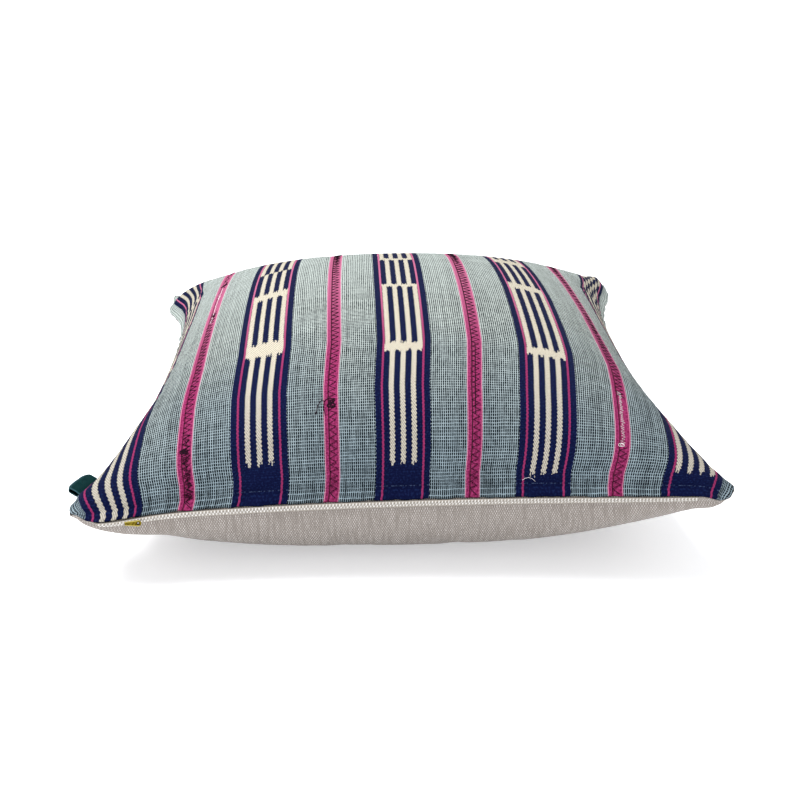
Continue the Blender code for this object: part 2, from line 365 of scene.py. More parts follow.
def read_form(sheet, across, along):
    """Smooth values of the form at cloth places in mm, counted from the near seam."""
    columns = np.clip((across / COVER + 0.5) * CELLS, 0, CELLS)
    rows = np.clip(along / COVER * CELLS, 0, CELLS)
    i = np.minimum(columns.astype(int), CELLS - 1)
    j = np.minimum(rows.astype(int), CELLS - 1)

    def weights(t):
        before = -0.5 * t + t ** 2 - 0.5 * t ** 3
        here = 1 - 2.5 * t ** 2 + 1.5 * t ** 3
        after = 0.5 * t + 2 * t ** 2 - 1.5 * t ** 3
        return before, here, after, -0.5 * t ** 2 + 0.5 * t ** 3

    value = np.zeros(np.shape(across) + (3,))
    for a, weight_across in enumerate(weights(columns - i)):
        for b, weight_along in enumerate(weights(rows - j)):
            corner = sheet[np.clip(i + a - 1, 0, CELLS), np.clip(j + b - 1, 0, CELLS)]
            value += (weight_across * weight_along)[..., None] * corner
    return value

# The back: one square of oatmeal cotton canvas with pale floats in staggered
# rows, seamed to the front all round. It closes the filled form, and goes on
# under the front, where the strips lie on it.
SEAM_TUCK = 1.7
SEAM_ROLL = 1.3
PUCKER = 0.55
PUCKER_LENGTH = 13.0
PUCKER_REACH = 12.0
PUCKER_SEED = 5
WAVES = 7
WAVE_PACES = (0.7, 1.5)
EDGE_CROWDING = 0.55
BACK_CELLS = (130, 130)
UNDER_STRIPS = 1.5

CANVAS_FLOAT_ACROSS = 1.7
CANVAS_FLOAT_ALONG = 2.3
CANVAS_FLOAT_ENDS = (3.2, 0.5)
CANVAS_FLOAT_RISE = (0.12, 0.46)
CANVAS_FLOAT_STRENGTH = (0.45, 0.90)
CANVAS_GAP = (0.45, 0.70)
CANVAS_GAP_DARK = 0.8
CANVAS_SLUB_PACE = (0.45, 0.035)
CANVAS_SLUB_SEEN = (0.30, 0.62)
CANVAS_SLUB_LIGHT = 0.35
CANVAS_RELIEF = 0.00035
CANVAS_GROUND = (0.245, 0.219, 0.198)
CANVAS_SHADE = (0.115, 0.099, 0.088)
CANVAS_SLUB = (0.30, 0.258, 0.230)
CANVAS_FLOAT = (0.58, 0.55, 0.53)


def uneven(across, along, wavelength, seed):
    """Smooth unevenness from about -1 to 1, with waves of about this length in mm."""
    dice = np.random.default_rng(seed)
    total = 0
    for _ in range(WAVES):
        turn, phase = dice.uniform(0, 2 * np.pi, 2)
        pace = 2 * np.pi / wavelength * dice.uniform(*WAVE_PACES)
        total = total + np.sin(pace * (across * np.cos(turn) + along * np.sin(turn)) + phase)
    return total / (WAVES / 2)


def rim_distance(across, along):
    """Distance to the nearest of the cover's four seams, in mm."""
    return np.minimum(np.minimum(COVER / 2 - np.abs(across), along), COVER - along)


def seam_sink(across, along):
    """How far the cloth lies under the plain form near its seams, in mm."""
    rim = rim_distance(across, along)
    pucker = uneven(across, along, PUCKER_LENGTH, PUCKER_SEED) * np.exp(-rim / PUCKER_REACH)
    return SEAM_TUCK * np.exp(-rim / SEAM_ROLL) + PUCKER * pucker


def back_height(across, along):
    return -seam_sink(across, along)


def underlay_height(across, along):
    """The underlay leaves the seam with the back, and goes down under the strips."""
    closing = 1 - np.exp(-rim_distance(across, along) / SEAM_ROLL)
    return back_height(across, along) * (1 - closing) - UNDER_STRIPS * closing


def crowded(share):
    """Moves the lines of a grid towards its edges, where the cloth turns in."""
    return share - EDGE_CROWDING * np.sin(2 * np.pi * share) / (2 * np.pi)


def lay_layer(body, form, cells, patch, height_at):
    """A layer of cloth over one patch of the form, at a height in mm. The patch is
    its left, right, near and far edge. Gives the layer's faces, and each vertex's
    cloth place and share of the patch."""
    verts = bmesh.ops.create_grid(body, x_segments=cells[0], y_segments=cells[1], size=1.0)["verts"]
    shares = np.array([((vert.co.x + 1) / 2, (vert.co.y + 1) / 2) for vert in verts])
    left, right, near, far = patch
    across = left + (right - left) * crowded(shares[:, 0])
    along = near + (far - near) * crowded(shares[:, 1])
    sheet, outward = form
    out = read_form(outward, across, along)
    out /= np.linalg.norm(out, axis=1)[:, None]
    place = read_form(sheet, across, along) + out * height_at(across, along)[:, None] / 1000
    place[:, 2] = np.maximum(place[:, 2], 0)
    for vert, corner in zip(verts, place):
        vert.co = corner
    faces = list({face for vert in verts for face in vert.link_faces})
    return faces, dict(zip(verts, zip(across, along))), dict(zip(verts, shares))


def set_map(faces, layer, values):
    """Writes a value of each vertex to its corners in a UV map."""
    for face in faces:
        for corner in face.loops:
            corner[layer].uv = values[corner.vert]


def sewn_up(name, body, gap):
    """The piece, after the open edges of its layers are merged."""
    rim = [vert for vert in body.verts if vert.is_boundary]
    bmesh.ops.remove_doubles(body, verts=rim, dist=gap)
    mesh = bpy.data.meshes.new(name)
    body.to_mesh(mesh)
    body.free()
    mesh.shade_smooth()
    piece = bpy.data.objects.new(name, mesh)
    bpy.context.scene.collection.objects.link(piece)
    return piece


body = bmesh.new()
pattern = body.loops.layers.uv.new("cloth")
whole_cover = (-COVER / 2, COVER / 2, 0.0, COVER)
underlay, places, _ = lay_layer(body, (FRONT, FRONT_OUT), BACK_CELLS, whole_cover, underlay_height)
set_map(underlay, pattern, places)
canvas_side, places, _ = lay_layer(body, (BACK, BACK_OUT), BACK_CELLS, whole_cover, back_height)
set_map(canvas_side, pattern, places)
bmesh.ops.reverse_faces(body, faces=canvas_side)
back_panel = sewn_up("back_panel", body, SOLID_MERGE)


class Wire:
    """A value or a colour in a shader tree. Sums on it lay the tree's Math nodes."""

    def __init__(self, tree, socket):
        self.tree = tree
        self.socket = socket

    def __add__(self, other):
        return maths("ADD", self, other)

    def __sub__(self, other):
        return maths("SUBTRACT", self, other)

    def __rsub__(self, other):
        return maths("SUBTRACT", other, self)

    def __mul__(self, other):
        return maths("MULTIPLY", self, other)

    def __truediv__(self, other):
        return maths("DIVIDE", self, other)

    def __abs__(self):
        return maths("ABSOLUTE", self)

    def __lt__(self, other):
        return maths("LESS_THAN", self, other)

    def __gt__(self, other):
        return maths("GREATER_THAN", self, other)

    def whole(self):
        return maths("FLOOR", self)

    def part(self):
        return maths("FRACT", self)

    def to_and_fro(self):
        """From 0 to 1 and back, over and over."""
        return maths("PINGPONG", self, 1.0)

    def between(self, low, high):
        """From 0 below low to 1 above high, smoothly."""
        node = self.tree.nodes.new("ShaderNodeMapRange")
        node.interpolation_type = "SMOOTHSTEP"
        plug(node.inputs["Value"], self)
        plug(node.inputs["From Min"], low)
        plug(node.inputs["From Max"], high)
        return Wire(self.tree, node.outputs[0])

    def mix(self, first, second):
        """The first colour where this is 0, and the second where it is 1."""
        node = self.tree.nodes.new("ShaderNodeMix")
        node.data_type = "RGBA"
        for place, value in ((0, self), (6, first), (7, second)):
            plug(node.inputs[place], value)
        return Wire(self.tree, node.outputs[2])

    def tinted(self, tone):
        """This colour, made lighter or darker by a tone."""
        node = self.tree.nodes.new("ShaderNodeMix")
        node.data_type = "RGBA"
        node.blend_type = "MULTIPLY"
        for place, value in ((0, 1.0), (6, self), (7, joined(tone, tone, tone))):
            plug(node.inputs[place], value)
        return Wire(self.tree, node.outputs[2])


def plug(socket, value):
    """Feeds a socket from a wire, or sets it to a number or a colour."""
    if isinstance(value, Wire):
        value.tree.links.new(value.socket, socket)
    else:
        socket.default_value = (*value, 1.0) if isinstance(value, tuple) else value


def maths(operation, *values):
    """One Math node on wires and numbers."""
    tree = next(value.tree for value in values if isinstance(value, Wire))
    node = tree.nodes.new("ShaderNodeMath")
    node.operation = operation
    for socket, value in zip(node.inputs, values):
        plug(socket, value)
    return Wire(tree, node.outputs[0])


def joined(x, y, z):
    node = x.tree.nodes.new("ShaderNodeCombineXYZ")
    for socket, value in zip(node.inputs, (x, y, z)):
        plug(socket, value)
    return Wire(x.tree, node.outputs[0])


def dice_at(x, y, z=0.0):
    """A fixed random value from 0 to 1 for whole-numbered places."""
    node = x.tree.nodes.new("ShaderNodeTexWhiteNoise")
    node.noise_dimensions = "3D"
    plug(node.inputs["Vector"], joined(x, y, z))
    return Wire(x.tree, node.outputs["Value"])


def cloud_at(x, y, z=0.0):
    """Smooth noise from 0 to 1, with one wave to each unit."""
    node = x.tree.nodes.new("ShaderNodeTexNoise")
    plug(node.inputs["Scale"], 1.0)
    plug(node.inputs["Detail"], 2.0)
    plug(node.inputs["Vector"], joined(x, y, z))
    return Wire(x.tree, node.outputs["Fac"])


def new_effect(name, values_in, values_out, colours_in=(), colours_out=()):
    """An empty node group with named sockets, the wires of its inputs, and its outputs."""
    group = bpy.data.node_groups.new(name, "ShaderNodeTree")
    for names, way, kind in (
        (values_in, "INPUT", "NodeSocketFloat"), (colours_in, "INPUT", "NodeSocketColor"),
        (values_out, "OUTPUT", "NodeSocketFloat"), (colours_out, "OUTPUT", "NodeSocketColor"),
    ):
        for socket in names:
            group.interface.new_socket(socket, in_out=way, socket_type=kind)
    sources = group.nodes.new("NodeGroupInput").outputs
    given = {socket: Wire(group, sources[socket]) for socket in (*values_in, *colours_in)}
    return group, given, group.nodes.new("NodeGroupOutput").inputs


def place_effect(tree, group, **values):
    """The group placed in a tree with its own values, and the wires of its outputs."""
    node = tree.nodes.new("ShaderNodeGroup")
    node.node_tree = group
    for name, value in values.items():
        plug(node.inputs[name], value)
    return {socket.name: Wire(tree, socket) for socket in node.outputs}


def new_finish(name, roughness, sheen=0.0, gloss=0.5):
    """A material with a Principled shader, and its tree and shader inputs."""
    finish = bpy.data.materials.new(name)
    finish.use_nodes = True
    shader = finish.node_tree.nodes["Principled BSDF"].inputs
    plug(shader["Roughness"], roughness)
    plug(shader["Specular IOR Level"], gloss)
    plug(shader["Sheen Weight"], sheen)
    plug(shader["Sheen Roughness"], 0.5)
    return finish, finish.node_tree, shader


def cloth_place(tree):
    """Cloth coordinates in mm: across the cushion, and along it from the near seam."""
    source = tree.nodes.new("ShaderNodeUVMap")
    source.uv_map = "cloth"
    parts = tree.nodes.new("ShaderNodeSeparateXYZ")
    tree.links.new(source.outputs[0], parts.inputs[0])
    return Wire(tree, parts.outputs[0]), Wire(tree, parts.outputs[1])


def raise_surface(shader, height, distance):
    """Relief of this many metres in the shader's normal."""
    bump = height.tree.nodes.new("ShaderNodeBump")
    plug(bump.inputs["Distance"], distance)
    plug(bump.inputs["Height"], height)
    plug(shader["Normal"], Wire(height.tree, bump.outputs[0]))


canvas_weave, given, result = new_effect(
    "canvas weave", ("Across", "Along"), ("Height",), colours_out=("Color",),
)
row = given["Along"] / CANVAS_FLOAT_ALONG
row_number = row.whole()
column = given["Across"] / CANVAS_FLOAT_ACROSS + row_number.to_and_fro() * 0.5
off_across = column.part() - 0.5
off_along = row.part() - 0.5
thrown = dice_at(column.whole(), row_number)
narrow, long = CANVAS_FLOAT_ENDS
from_float = maths("SQRT", off_across * off_across * narrow + off_along * off_along * long)
raised = 1.0 - from_float.between(*CANVAS_FLOAT_RISE)
slub = cloud_at(given["Across"] * CANVAS_SLUB_PACE[0], given["Along"] * CANVAS_SLUB_PACE[1], 3.0)
weakest, strongest = CANVAS_FLOAT_STRENGTH
strength = (thrown * (strongest - weakest) + weakest) * slub.between(*CANVAS_SLUB_SEEN)
ground = (from_float.between(*CANVAS_GAP) * CANVAS_GAP_DARK).mix(CANVAS_GROUND, CANVAS_SHADE)
ground = (slub * CANVAS_SLUB_LIGHT).mix(ground, CANVAS_SLUB)
plug(result["Color"], (raised * strength).mix(ground, CANVAS_FLOAT))
plug(result["Height"], raised + slub * 0.5)

canvas, tree, shader = new_finish("oatmeal canvas", 0.92, sheen=0.1, gloss=0.15)
across, along = cloth_place(tree)
weave = place_effect(tree, canvas_weave, Across=across, Along=along)
plug(shader["Base Color"], weave["Color"])
raise_surface(shader, weave["Height"], CANVAS_RELIEF)

back_panel.data.materials.append(canvas)
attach(back_panel, "root")
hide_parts("cushion")

# The front: five narrow strips of hand-woven cloth, sewn edge to edge. Each
# has a navy ikat band down its middle, open sage weave beside it and a pink
# selvedge at each edge. The outer two are cut off by the side seams.
STRIP = 98.5
BAND = 19.0
PINK_LINE = (13.4, 14.8)
STRIPE = 3.8
STRIPES_START = -13.3
CREAM_HALF = 0.44
SELVEDGE = 44.1
PALE_EDGE = 0.55
THREAD = 0.75

# Ikat edges, and the teeth that the picks give them
JAG = 4.2
JAG_STRETCH = 60.0
TOOTH_PITCH = 1.4
TOOTH_DEPTH = 0.8
LINE_TOOTH = 0.35
WEFT_LINE = 6.8
WEFT_HALF = 0.28

# The open weave's yarns and holes, with painted light on the crossings and painted shade in the holes
WARP_PITCH = 1.45
WEFT_PITCH = 2.1
YARN_WANDER = 0.5
YARN_WANDER_LENGTH = 22.0
YARN_TONES = (0.72, 1.00)
YARN_CROSSING_PAINTED_LIGHT = 0.30
HOLE_HALF_WIDE = 0.25
HOLE_HALF_LONG = 0.34
HOLE_SOFTNESS = 0.035
HOLE_UNEVEN = 0.07
HOLE_FADE = (40.0, 400.0)
HOLE_FAR_LOSS = -0.13
SLUB_WIDE = 3.2
SLUB_LONG = 26.0
SLUB_PULL = 0.10

# Where the tones turn: along the strip, with painted shade by the near seam and
# painted light towards the crown, in its grain and at its edges
BLUE_AND_PAINTED_SHADE_TO_SAGE = (-20.0, 185.0)
PATCH_PACE = (0.016, 0.010)
PATCH_REACH = 110.0
PAINTED_NEAR_SHADE_TO_CREAM = (30.0, 115.0)
PINK_TO_PAINTED_LIGHT = (80.0, 240.0)
SELVEDGE_PAINTED_LIGHT = 0.75
GRAIN_PACE = 0.8
CREAM_GRAIN = (0.2, 0.7)
NAVY_GRAIN = (0.45, 0.75)
WEFT_GRAIN = (0.45, 0.60)
PINK_GRAIN = (0.3, 0.7)
PEBBLE = 0.72
PEBBLE_SLANT = 0.62
EDGE_SHADE = (0.1, 0.7)
PALE_EDGE_SHOWN = 0.6

# The cloth's relief, as shares of the deepest, and its roughness
CLOTH_RELIEF = 0.0004
PICK = 0.8
RIB_RELIEF = 0.45
PICK_RELIEF = 0.35
GRAIN_RELIEF = 0.4
YARN_RELIEF = 0.8
CLOTH_ROUGHNESS = (0.82, 0.96)

# Yarn colours, with painted shade by the near seam and in the holes, and painted
# light towards the crown
NAVY = (0.0012, 0.0025, 0.022)
NAVY_LIT = (0.005, 0.012, 0.050)
NAVY_WEFT = (0.036, 0.054, 0.107)
CREAM = (0.515, 0.477, 0.385)
CREAM_PAINTED_NEAR_SHADE = (0.40, 0.375, 0.325)
CREAM_SHADE = (0.17, 0.150, 0.120)
SAGE = (0.302, 0.338, 0.322)
SAGE_BLUE_PAINTED_SHADE = (0.176, 0.230, 0.264)
HOLE_PAINTED_SHADE = (0.003, 0.006, 0.009)
PINK = (0.264, 0.030, 0.111)
PINK_DEEP = (0.115, 0.0062, 0.038)
PINK_SHADE = (0.085, 0.005, 0.028)
PINK_PALE = (0.60, 0.29, 0.385)
PINK_PAINTED_LIGHT = (0.335, 0.088, 0.168)

# The strips as cloth, and the valleys where they join
STRIP_CELLS = (56, 230)
CLOTH_THICKNESS = 0.9
EDGE_ROUNDING = 0.8
EDGE_SINK = 0.12
EDGE_ROLL = 0.5
JOIN_LAP = -1.7
JOIN_GAP = 0.02
JOIN_SINK = 0.4
JOIN_REACH = 7.0
JOIN_RIM_REACH = 3.0
COCKLE = 0.12
COCKLE_LENGTH = 9.0
COCKLE_SEED = 21
BAKE_SHARE = 0.94
BAKE_GAP = 0.01

Strip = namedtuple("Strip", "name middle left right sections")
STRIPS = (
    Strip("strip_left", -2 * STRIP, -COVER / 2, -1.5 * STRIP + JOIN_LAP, (
        (0, "odd"), (103, "bar"), (112, "even"), (196, "bar"), (207, "odd"), (280, "bar"), (288, "even"),
        (352, "bar"), (356, "odd"), (432, "even"),
    )),
    Strip("strip_left_inner", -STRIP, -1.5 * STRIP + JOIN_LAP, -0.5 * STRIP + JOIN_LAP, (
        (0, "solid"), (23.3, "odd"), (113.6, "bar"), (129.8, "even"), (206.6, "bar"), (218.2, "odd"),
        (279, "even"), (336, "bar"), (344, "odd"), (410, "even"),
    )),
    Strip("strip_middle", 0.0, -0.5 * STRIP + JOIN_LAP, 0.5 * STRIP + JOIN_LAP, (
        (0, "solid"), (21, "odd"), (107.1, "bar"), (115.9, "even"), (200.5, "bar"), (207.1, "odd"),
        (278.7, "bar"), (286, "even"), (372, "bar"), (380, "odd"),
    )),
    Strip("strip_right_inner", STRIP, 0.5 * STRIP + JOIN_LAP, 1.5 * STRIP + JOIN_LAP, (
        (0, "solid"), (12.1, "odd"), (108.6, "bar"), (116.8, "even"), (222.3, "bar"), (234.8, "odd"),
        (302.2, "bar"), (317.1, "even"), (400, "odd"),
    )),
    Strip("strip_right", 2 * STRIP, 1.5 * STRIP + JOIN_LAP, COVER / 2, (
        (0, "solid"), (17, "even"), (104, "bar"), (113, "odd"), (206, "even"), (290, "bar"), (296, "odd"),
        (362, "even"), (376, "odd"), (389, "even"), (401, "odd"), (414, "even"), (428, "odd"), (440, "even"),
    )),
)
# Which stripes are cream in each kind of figure: the odd ones, the even ones or both
SECTIONS = {"solid": (0, 0, 0, 1), "odd": (1, 0, 0, 1), "even": (0, 1, 0, 1), "bar": (1, 1, 0, 1)}


def add_shell(name, form, patch, cells, lift, thickness):
    """A closed shell of cloth over one patch of the form. lift and thickness are
    functions of the cloth place, in mm. The shell closes where the thickness is nothing."""
    shell = bmesh.new()
    pattern = shell.loops.layers.uv.new("cloth")
    bake = shell.loops.layers.uv.new("OFBake")
    outer, places, shares = lay_layer(shell, form, cells, patch, lift)
    set_map(outer, pattern, places)
    set_map(outer, bake, {vert: (BAKE_SHARE * u, v) for vert, (u, v) in shares.items()})
    inner, places, shares = lay_layer(
        shell, form, cells, patch, lambda across, along: lift(across, along) - thickness(across, along),
    )
    set_map(inner, pattern, places)
    inner_start = BAKE_SHARE + BAKE_GAP
    set_map(inner, bake, {vert: (inner_start + (1 - inner_start) * u, v) for vert, (u, v) in shares.items()})
    bmesh.ops.reverse_faces(shell, faces=outer if form[0] is BACK else inner)
    return sewn_up(name, shell, SOLID_MERGE / 10)


def front_height(across, along):
    """How far the front's cloth lies above the plain form, in mm."""
    to_join = np.min([np.abs(across - JOIN_LAP - (k - 1.5) * STRIP) for k in range(4)], axis=0)
    sink = EDGE_SINK * np.exp(-to_join / EDGE_ROLL) + JOIN_SINK * np.exp(-((to_join / JOIN_REACH) ** 2))
    sink *= 1 - np.exp(-rim_distance(across, along) / JOIN_RIM_REACH)
    return COCKLE * uneven(across, along, COCKLE_LENGTH, COCKLE_SEED) - seam_sink(across, along) - sink


# Warp threads that were tied and dyed before weaving, so that no two ends of a
# figure stop at the same place
thread_jag, given, result = new_effect("thread jag", ("Across", "Along"), ("Along",))
thread = (given["Across"] / THREAD).whole()
stretch = maths("ROUND", given["Along"] / JAG_STRETCH)
plug(result["Along"], given["Along"] + (dice_at(thread, stretch) - 0.5) * JAG)

# Open plain weave: pale yarns both ways, painted lighter as painted light where
# they cross and rise, with holes between them painted near-black as painted
# shade. The holes are widest by the near seam, where the cloth is stretched.
open_weave, given, result = new_effect(
    "open weave", ("Across", "Along"), ("Height",), colours_in=("Yarn",), colours_out=("Color",),
)
across, along = given["Across"], given["Along"]
wander = (cloud_at(across / YARN_WANDER_LENGTH, along / YARN_WANDER_LENGTH, 1.0) - 0.5) * YARN_WANDER
column = across / WARP_PITCH + wander
row = along / WEFT_PITCH - wander
warp, weft = column.whole(), row.whole()
from_column = abs(column.part() - 0.5)
from_row = abs(row.part() - 0.5)
slub = cloud_at(across / SLUB_WIDE, along / SLUB_LONG, 2.0)
spread = along.between(*HOLE_FADE) * HOLE_FAR_LOSS + dice_at(warp, weft) * HOLE_UNEVEN
spread = spread + (slub - 0.5) * SLUB_PULL
half_wide = spread + dice_at(warp, 3.0) * HOLE_UNEVEN + HOLE_HALF_WIDE
half_long = spread + dice_at(weft, 7.0) * HOLE_UNEVEN + HOLE_HALF_LONG
hole_across = (half_wide - from_column).between(-HOLE_SOFTNESS, HOLE_SOFTNESS)
hole = hole_across * (half_long - from_row).between(-HOLE_SOFTNESS, HOLE_SOFTNESS)
crossing = from_column + from_row
dullest, brightest = YARN_TONES
tone = (dice_at(warp, 0.0, 5.0) + dice_at(weft, 0.0, 9.0)) * ((brightest - dullest) / 2) + dullest
# Yarns are painted lighter where they cross and rise: painted light.
tone = tone + crossing * YARN_CROSSING_PAINTED_LIGHT
toned = given["Yarn"].tinted(tone)
# The holes are painted near-black: painted shade.
plug(result["Color"], hole.mix(toned, HOLE_PAINTED_SHADE))
plug(result["Height"], crossing * YARN_RELIEF - hole)

# The whole width of one strip: navy band, figures, pink lines, open weave and
# selvedges. Odd and Even say which of the seven stripes are cream.
strip_cloth, given, result = new_effect(
    "strip cloth", ("Across", "Along", "Odd", "Even", "Middle", "Weft"),
    ("Height", "Roughness"), colours_out=("Color",),
)
across, along = given["Across"], given["Along"]
local = across - given["Middle"]
grain = cloud_at(local * GRAIN_PACE, along * GRAIN_PACE, 2.0)
saw = (along / TOOTH_PITCH).to_and_fro() - 0.5
toothed = local + saw * TOOTH_DEPTH
from_middle = abs(local)
line_from_middle = abs(saw * LINE_TOOTH + local)
# The pink turns lighter and paler away from the near seam, towards the crown: painted light.
painted_light = along.between(*PINK_TO_PAINTED_LIGHT)

stripe = (toothed - STRIPES_START) / STRIPE
is_odd = stripe.whole().to_and_fro()
in_stripe = abs(stripe.part() - 0.5) < CREAM_HALF
in_stripe = maths("MAXIMUM", in_stripe, given["Odd"] * given["Even"])
in_figure = (abs(toothed) < PINK_LINE[0]) * in_stripe
is_cream = (given["Odd"] * is_odd + given["Even"] * (1.0 - is_odd)) * in_figure
pebble = ((local + along * PEBBLE_SLANT) / PEBBLE).to_and_fro()
# The cream is darker by the near seam: painted shade.
cream = along.between(*PAINTED_NEAR_SHADE_TO_CREAM).mix(CREAM_PAINTED_NEAR_SHADE, CREAM)
cream = (pebble * 0.5 + grain * 0.5).between(*CREAM_GRAIN).mix(CREAM_SHADE, cream)
on_weft_line = (abs(along - WEFT_LINE) < WEFT_HALF) * given["Weft"] * grain.between(*WEFT_GRAIN)
navy = on_weft_line.mix(grain.between(*NAVY_GRAIN).mix(NAVY, NAVY_LIT), NAVY_WEFT)
on_line = (line_from_middle > PINK_LINE[0]) * (line_from_middle < PINK_LINE[1])
line_pink = painted_light.mix(grain.mix(PINK_DEEP, PINK), PINK_PAINTED_LIGHT)
band = on_line.mix(is_cream.mix(navy, cream), line_pink)

# The sage is bluer and darker by the near seam: a bluer tint, and painted shade on the near face, with an
# uneven edge.
patch = cloud_at(across * PATCH_PACE[0], along * PATCH_PACE[1], 4.0)
sage = (along + (patch - 0.5) * PATCH_REACH).between(*BLUE_AND_PAINTED_SHADE_TO_SAGE).mix(SAGE_BLUE_PAINTED_SHADE, SAGE)
weave = place_effect(strip_cloth, open_weave, Across=across, Along=along, Yarn=sage)

to_left = local + (STRIP / 2 - JOIN_LAP)
to_edge = maths("MINIMUM", abs(to_left), abs(to_left - STRIP))
pale = (from_middle < SELVEDGE + PALE_EDGE) * PALE_EDGE_SHOWN
pink = grain.between(*PINK_GRAIN).mix(PINK_DEEP, PINK)
pink = (painted_light * SELVEDGE_PAINTED_LIGHT).mix(pink, PINK_PAINTED_LIGHT)
pink = (1.0 - to_edge.between(*EDGE_SHADE)).mix(pink, PINK_SHADE)
pink = pale.mix(pink, PINK_PALE)

in_band = line_from_middle < BAND
in_selvedge = from_middle > SELVEDGE
plug(result["Color"], in_selvedge.mix(in_band.mix(weave["Color"], band), pink))
rib = (local / (THREAD / 2)).to_and_fro()
close_weave = rib * RIB_RELIEF + (along / PICK).to_and_fro() * PICK_RELIEF + grain * GRAIN_RELIEF
is_close = maths("MAXIMUM", in_band, in_selvedge)
plug(result["Height"], close_weave * is_close + weave["Height"] * (1.0 - is_close))
smoothest, roughest = CLOTH_ROUGHNESS
plug(result["Roughness"], grain * (roughest - smoothest) + smoothest)


def strip_finish(strip, weft_line):
    """The finish of one strip, with its own run of figures from the near seam."""
    finish, tree, shader = new_finish(strip.name + " cloth", 0.9, sheen=0.02, gloss=0.03)
    across, along = cloth_place(tree)
    jagged = place_effect(tree, thread_jag, Across=across, Along=along)["Along"]
    figures = tree.nodes.new("ShaderNodeValToRGB")
    figures.color_ramp.interpolation = "CONSTANT"
    steps = figures.color_ramp.elements
    steps[0].color = SECTIONS[strip.sections[0][1]]
    steps.remove(steps[1])
    for start, kind in strip.sections[1:]:
        steps.new(start / COVER).color = SECTIONS[kind]
    plug(figures.inputs[0], jagged / COVER)
    channels = tree.nodes.new("ShaderNodeSeparateColor")
    tree.links.new(figures.outputs[0], channels.inputs[0])
    odd, even = (Wire(tree, channels.outputs[k]) for k in (0, 1))
    cloth = place_effect(
        tree, strip_cloth, Across=across, Along=along, Odd=odd, Even=even,
        Middle=strip.middle, Weft=weft_line,
    )
    plug(shader["Base Color"], cloth["Color"])
    plug(shader["Roughness"], cloth["Roughness"])
    raise_surface(shader, cloth["Height"], CLOTH_RELIEF)
    return finish


def add_strip(strip):
    left = strip.left + (JOIN_GAP if strip.left > -COVER / 2 else 0)
    right = strip.right - (JOIN_GAP if strip.right < COVER / 2 else 0)

    def thickness(across, along):
        edge = np.minimum(np.minimum(across - left, right - across), rim_distance(across, along))
        return CLOTH_THICKNESS * (1 - np.exp(-np.maximum(edge, 0) / EDGE_ROUNDING))

    patch = (left, right, 0.0, COVER)
    piece = add_shell(strip.name, (FRONT, FRONT_OUT), patch, STRIP_CELLS, front_height, thickness)
    piece.data.materials.append(strip_finish(strip, 1.0 if strip.sections[0][1] == "solid" else 0.0))
    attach(piece, "root")
    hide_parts("cushion")


for strip in STRIPS:
    add_strip(strip)

# The joins: the strips' selvedges are butted and sewn down with a zigzag in
# black thread. Two stretches were mended with a finer white one, and some ends
# were left loose.
STITCH_RADIUS = 0.00028
STITCH_LIFT = 0.18
ZIGZAG_HALF = 2.4
ZIGZAG_STEP = 2.1
ZIGZAG_SPREAD = 0.0022
ZIGZAG_SHIFT = 0.8
LOOP_STEPS = 9
MENDING_RADIUS_FIRST = 0.00016
MENDING_RADIUS_FOURTH = 0.00014
FIBRE_RADIUS = 0.0001
BLACK = (0.0115, 0.0035, 0.0085)
WHITE = (0.66, 0.61, 0.62)
JOINS = {name: (k - 1.5) * STRIP for k, name in enumerate(("first", "second", "third", "fourth"))}

black, tree, shader = new_finish("black thread", 0.9, gloss=0.05)
plug(shader["Base Color"], BLACK)
white, tree, shader = new_finish("white thread", 0.8, sheen=0.1)
plug(shader["Base Color"], WHITE)


def on_front(across, along):
    """A point just above the front, at a cloth place."""
    across, along = np.array([across]), np.array([along])
    out = read_form(FRONT_OUT, across, along)[0]
    height = front_height(across, along)[0] + STITCH_LIFT
    return Vector(read_form(FRONT, across, along)[0] + out / np.linalg.norm(out) * height / 1000)


def zigzag(join, start, end, seed, half=ZIGZAG_HALF, step=ZIGZAG_STEP, mess=0.2, shift=ZIGZAG_SHIFT):
    """The corners of a zigzag stitch along one join, in cloth places."""
    dice = np.random.default_rng(seed)
    places = []
    along = start
    side = 1
    while along < end:
        across = JOINS[join] + shift + side * half * (1 + mess * dice.uniform(-1, 1))
        places.append((across, along + mess * step * dice.uniform(-1, 1)))
        side = -side
        along += step * (1 + ZIGZAG_SPREAD * along)
    return places


def loops(across, along, size, turns, seed):
    """A small tangle of thread round one cloth place."""
    dice = np.random.default_rng(seed)
    places = []
    for step in range(turns * LOOP_STEPS):
        angle = 2 * math.pi * step / LOOP_STEPS
        reach = size * dice.uniform(0.55, 1.1)
        slide = size * 0.5 * math.sin(angle / turns)
        places.append((across + reach * math.cos(angle) + slide, along + 0.8 * reach * math.sin(angle)))
    return places


def beside(join, *places):
    """Cloth places given by how far they lie to the right of one join."""
    return [(JOINS[join] + right, along) for right, along in places]


def add_thread(name, runs, finish, radius=STITCH_RADIUS):
    """Thread along runs of cloth places, lying on the front."""
    curve = bpy.data.curves.new(name, "CURVE")
    curve.dimensions = "3D"
    curve.bevel_depth = radius
    curve.bevel_resolution = 1
    curve.use_fill_caps = True
    for run in runs:
        spline = curve.splines.new("POLY")
        spline.points.add(len(run) - 1)
        for point, (across, along) in zip(spline.points, run):
            point.co = (*on_front(across, along), 1.0)
    thread = bpy.data.objects.new(name, curve)
    curve.materials.append(finish)
    bpy.context.scene.collection.objects.link(thread)
    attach(thread, "root")
    return thread


